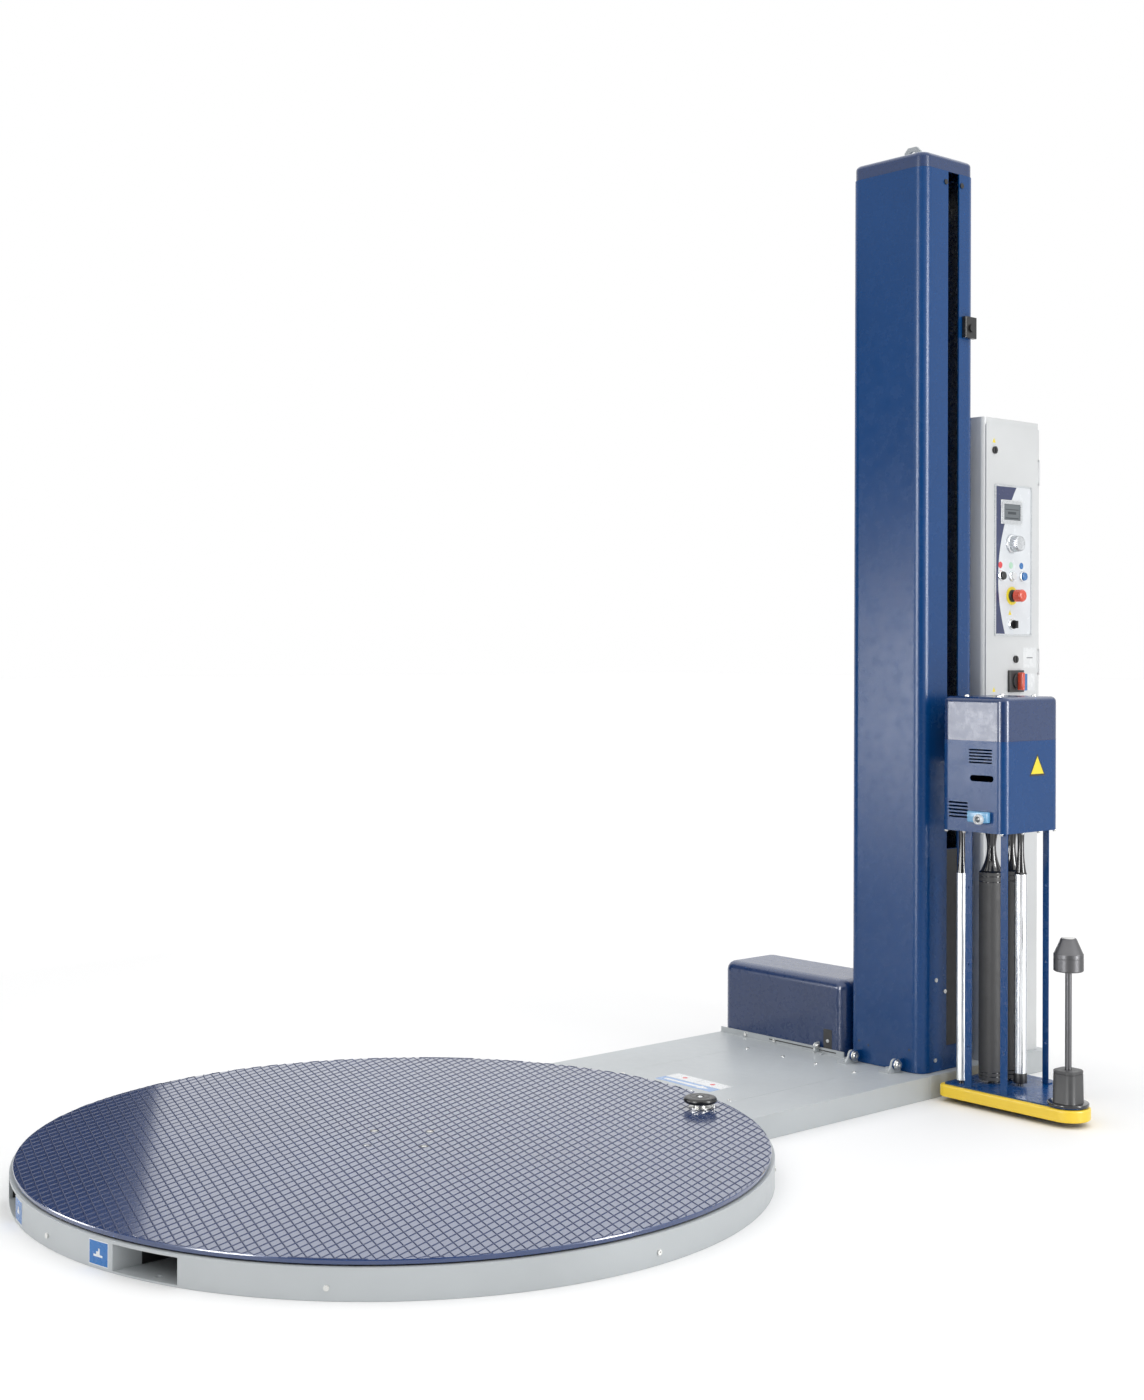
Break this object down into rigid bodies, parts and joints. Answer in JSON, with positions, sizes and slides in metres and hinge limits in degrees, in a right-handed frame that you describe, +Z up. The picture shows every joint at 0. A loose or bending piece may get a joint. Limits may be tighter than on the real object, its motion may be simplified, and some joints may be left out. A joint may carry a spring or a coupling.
{
  "type": "turntable pallet wrapper",
  "caption": "Stretch-film pallet wrapper: low round turntable with fork pockets, folding mast with lifting film carriage, drive cover and control cabinet.",
  "frame": {"origin": "on the floor, on the turntable's axis", "axes": "+Z up, +Y from the turntable towards the mast, +X towards the side where the film carriage runs"},
  "size_m": [1.67, 2.8, 2.515],
  "materials": {
    "table_paint": "satin navy enamel on tread plate",
    "grey_paint": "satin light grey powder coat",
    "blue_paint": "fine textured blue powder coat",
    "blue_plastic": "glossy moulded navy plastic",
    "cabinet_paint": "smooth off-white powder coat",
    "yellow_edge": "smooth yellow plastic",
    "black_plastic": "moulded black plastic",
    "drum_rubber": "dark grey grippy rubber",
    "chrome_steel": "polished chromed tube",
    "zinc_steel": "bright zinc plated steel",
    "dark_steel": "blackened steel",
    "polyurethane": "cast polyurethane wheel tread",
    "red_plastic": "glossy red plastic",
    "white_plastic": "glossy white plastic",
    "panel_film": "printed membrane panel",
    "reset_blue": "glossy blue plastic",
    "knob_grey": "satin turned aluminium",
    "component_grey": "mixed electrical housings",
    "cell_blue": "light blue sensor housing"
  },
  "bodies": {
    "base": {"base_frame": "grey_paint", "ring_skirt": "grey_paint", "fork_pockets": "grey_paint", "table_supports": "zinc_steel", "drive_chain": "dark_steel", "table_gearmotor": "component_grey", "platform_cover": "grey_paint", "rear_base": "grey_paint", "motor_cover": "blue_plastic", "mast_hinge_brackets": "grey_paint", "base_screws": "zinc_steel", "cabinet_box": "cabinet_paint", "power_unit": "component_grey"},
    "table": {"table_plate": "table_paint", "table_sprocket": "dark_steel", "film_clamp_base": "zinc_steel"},
    "film_clamp": {"film_clamp_knob": "black_plastic"},
    "drive_sprocket": {"drive_sprocket": "dark_steel"},
    "mast": {"mast_column": "blue_paint", "hinge_pins": "zinc_steel", "mast_cap": "blue_plastic", "lifting_lug": "grey_paint", "guide_rails": "zinc_steel", "lift_belt": "black_plastic", "lift_motor": "component_grey", "limit_switch": "black_plastic"},
    "lift_drive_pulley": {"lift_drive_pulley": "knob_grey"},
    "lift_idler_pulley": {"lift_idler_pulley": "knob_grey"},
    "door": {"cabinet_door": "cabinet_paint", "control_fascia": "panel_film", "display": "component_grey", "control_bezels": "chrome_steel"},
    "encoder_knob": {"encoder_knob": "knob_grey"},
    "stop_button": {"stop_button": "black_plastic"},
    "start_button": {"start_button": "white_plastic"},
    "reset_button": {"reset_button": "reset_blue"},
    "emergency_stop": {"emergency_stop": "red_plastic"},
    "key_switch": {"key_switch": "black_plastic"},
    "upper_lock": {"upper_lock": "black_plastic"},
    "lower_lock": {"lower_lock": "black_plastic"},
    "isolator_handle": {"isolator_handle": "red_plastic"},
    "carriage": {"carriage_deck": "blue_paint", "carriage_posts": "blue_paint", "carriage_body": "blue_paint", "carriage_hood": "blue_plastic", "trolley": "zinc_steel", "photocell": "cell_blue", "carriage_motor": "component_grey"},
    "bumper": {"bumper": "yellow_edge"},
    "guide_roller_front": {"guide_roller_front": "chrome_steel"},
    "guide_roller_rear": {"guide_roller_rear": "chrome_steel"},
    "stretch_roller_a": {"stretch_roller_a": "drum_rubber"},
    "stretch_roller_b": {"stretch_roller_b": "drum_rubber"},
    "core_spindle": {"core_spindle": "dark_steel"},
    "support_wheel_1": {"support_wheel_1": "polyurethane"},
    "support_wheel_2": {"support_wheel_2": "polyurethane"},
    "support_wheel_3": {"support_wheel_3": "polyurethane"},
    "support_wheel_4": {"support_wheel_4": "polyurethane"},
    "support_wheel_5": {"support_wheel_5": "polyurethane"},
    "support_wheel_6": {"support_wheel_6": "polyurethane"}
  },
  "joints": [
    {"name": "table_spin", "type": "hinge", "parent": "base", "child": "table", "pos_m": [0, 0, 0.06], "axis": [0, 0, 1], "continuous": true},
    {"name": "wheel_1_spin", "type": "hinge", "parent": "base", "child": "support_wheel_1", "pos_m": [0.64, 0, 0.0427], "axis": [1, 0, 0], "continuous": true},
    {"name": "wheel_2_spin", "type": "hinge", "parent": "base", "child": "support_wheel_2", "pos_m": [0.45255, 0.45255, 0.0427], "axis": [0.7071, 0.7071, 0], "continuous": true},
    {"name": "wheel_3_spin", "type": "hinge", "parent": "base", "child": "support_wheel_3", "pos_m": [-0.45255, 0.45255, 0.0427], "axis": [-0.7071, 0.7071, 0], "continuous": true},
    {"name": "wheel_4_spin", "type": "hinge", "parent": "base", "child": "support_wheel_4", "pos_m": [-0.64, 0, 0.0427], "axis": [-1, 0, 0], "continuous": true},
    {"name": "wheel_5_spin", "type": "hinge", "parent": "base", "child": "support_wheel_5", "pos_m": [-0.45255, -0.45255, 0.0427], "axis": [-0.7071, -0.7071, 0], "continuous": true},
    {"name": "wheel_6_spin", "type": "hinge", "parent": "base", "child": "support_wheel_6", "pos_m": [0.45255, -0.45255, 0.0427], "axis": [0.7071, -0.7071, 0], "continuous": true},
    {"name": "drive_sprocket_spin", "type": "hinge", "parent": "base", "child": "drive_sprocket", "pos_m": [-0.14, 1.545, 0.038], "axis": [0, 0, 1], "continuous": true},
    {"name": "film_clamp_lift", "type": "slide", "parent": "table", "child": "film_clamp", "axis": [0, 0, 1], "range_m": [0, 0.01], "stiffness_N_per_m": 400, "springref_m": -0.003},
    {"name": "mast_fold", "type": "hinge", "parent": "base", "child": "mast", "pos_m": [0.2035, 1.41, 0.08], "axis": [1, 0, 0], "range_deg": [0, 90]},
    {"name": "carriage_lift", "type": "slide", "parent": "mast", "child": "carriage", "axis": [0, 0, 1], "range_m": [0, 1.45]},
    {"name": "lift_drive_pulley_spin", "type": "hinge", "parent": "mast", "child": "lift_drive_pulley", "pos_m": [0.215, 1.5635, 0.17], "axis": [0, 1, 0], "range_deg": [-2205, 0]},
    {"name": "lift_idler_pulley_spin", "type": "hinge", "parent": "mast", "child": "lift_idler_pulley", "pos_m": [0.215, 1.5635, 2.375], "axis": [0, 1, 0], "range_deg": [-2205, 0]},
    {"name": "door_swing", "type": "hinge", "parent": "base", "child": "door", "pos_m": [0.332, 1.944, 1.394], "axis": [0, 0, 1], "range_deg": [0, 110]},
    {"name": "encoder_turn", "type": "hinge", "parent": "door", "child": "encoder_knob", "pos_m": [0.34, 1.815, 1.454], "axis": [1, 0, 0], "continuous": true},
    {"name": "stop_button_press", "type": "slide", "parent": "door", "child": "stop_button", "axis": [-1, 0, 0], "range_m": [0, 0.003], "stiffness_N_per_m": 400, "springref_m": -0.002},
    {"name": "start_button_press", "type": "slide", "parent": "door", "child": "start_button", "axis": [-1, 0, 0], "range_m": [0, 0.003], "stiffness_N_per_m": 400, "springref_m": -0.002},
    {"name": "reset_button_press", "type": "slide", "parent": "door", "child": "reset_button", "axis": [-1, 0, 0], "range_m": [0, 0.003], "stiffness_N_per_m": 400, "springref_m": -0.002},
    {"name": "emergency_stop_press", "type": "slide", "parent": "door", "child": "emergency_stop", "axis": [-1, 0, 0], "range_m": [0, 0.005], "stiffness_N_per_m": 600, "springref_m": -0.002},
    {"name": "key_turn", "type": "hinge", "parent": "door", "child": "key_switch", "pos_m": [0.34, 1.815, 1.234], "axis": [1, 0, 0], "range_deg": [0, 90]},
    {"name": "upper_lock_turn", "type": "hinge", "parent": "door", "child": "upper_lock", "pos_m": [0.334, 1.738, 1.705], "axis": [1, 0, 0], "range_deg": [0, 90]},
    {"name": "lower_lock_turn", "type": "hinge", "parent": "door", "child": "lower_lock", "pos_m": [0.334, 1.835, 1.139], "axis": [1, 0, 0], "range_deg": [0, 90]},
    {"name": "isolator_turn", "type": "hinge", "parent": "door", "child": "isolator_handle", "pos_m": [0.34, 1.833, 1.079], "axis": [1, 0, 0], "range_deg": [0, 90]},
    {"name": "bumper_press", "type": "slide", "parent": "carriage", "child": "bumper", "axis": [0, 0, 1], "range_m": [0, 0.003]},
    {"name": "guide_roller_front_spin", "type": "hinge", "parent": "carriage", "child": "guide_roller_front", "pos_m": [0.418, 1.484, 0.3], "axis": [0, 0, 1], "continuous": true},
    {"name": "guide_roller_rear_spin", "type": "hinge", "parent": "carriage", "child": "guide_roller_rear", "pos_m": [0.5335, 1.576, 0.3], "axis": [0, 0, 1], "continuous": true},
    {"name": "stretch_roller_a_spin", "type": "hinge", "parent": "carriage", "child": "stretch_roller_a", "pos_m": [0.4595, 1.5535, 0.3], "axis": [0, 0, 1], "continuous": true},
    {"name": "stretch_roller_b_spin", "type": "hinge", "parent": "carriage", "child": "stretch_roller_b", "pos_m": [0.473, 1.62, 0.3], "axis": [0, 0, 1], "continuous": true},
    {"name": "core_spindle_spin", "type": "hinge", "parent": "carriage", "child": "core_spindle", "pos_m": [0.729, 1.497, 0.3], "axis": [0, 0, 1], "continuous": true}
  ],
  "couplings": [
    {"joint": "wheel_1_spin", "follows": "table_spin", "ratio": -32},
    {"joint": "wheel_2_spin", "follows": "table_spin", "ratio": -32},
    {"joint": "wheel_3_spin", "follows": "table_spin", "ratio": -32},
    {"joint": "wheel_4_spin", "follows": "table_spin", "ratio": -32},
    {"joint": "wheel_5_spin", "follows": "table_spin", "ratio": -32},
    {"joint": "wheel_6_spin", "follows": "table_spin", "ratio": -32},
    {"joint": "drive_sprocket_spin", "follows": "table_spin", "ratio": 4.8},
    {"joint": "lift_drive_pulley_spin", "follows": "carriage_lift", "rad_per_m": -26.455},
    {"joint": "lift_idler_pulley_spin", "follows": "carriage_lift", "rad_per_m": -26.455},
    {"joint": "stretch_roller_b_spin", "follows": "stretch_roller_a_spin", "ratio": -1.5}
  ]
}
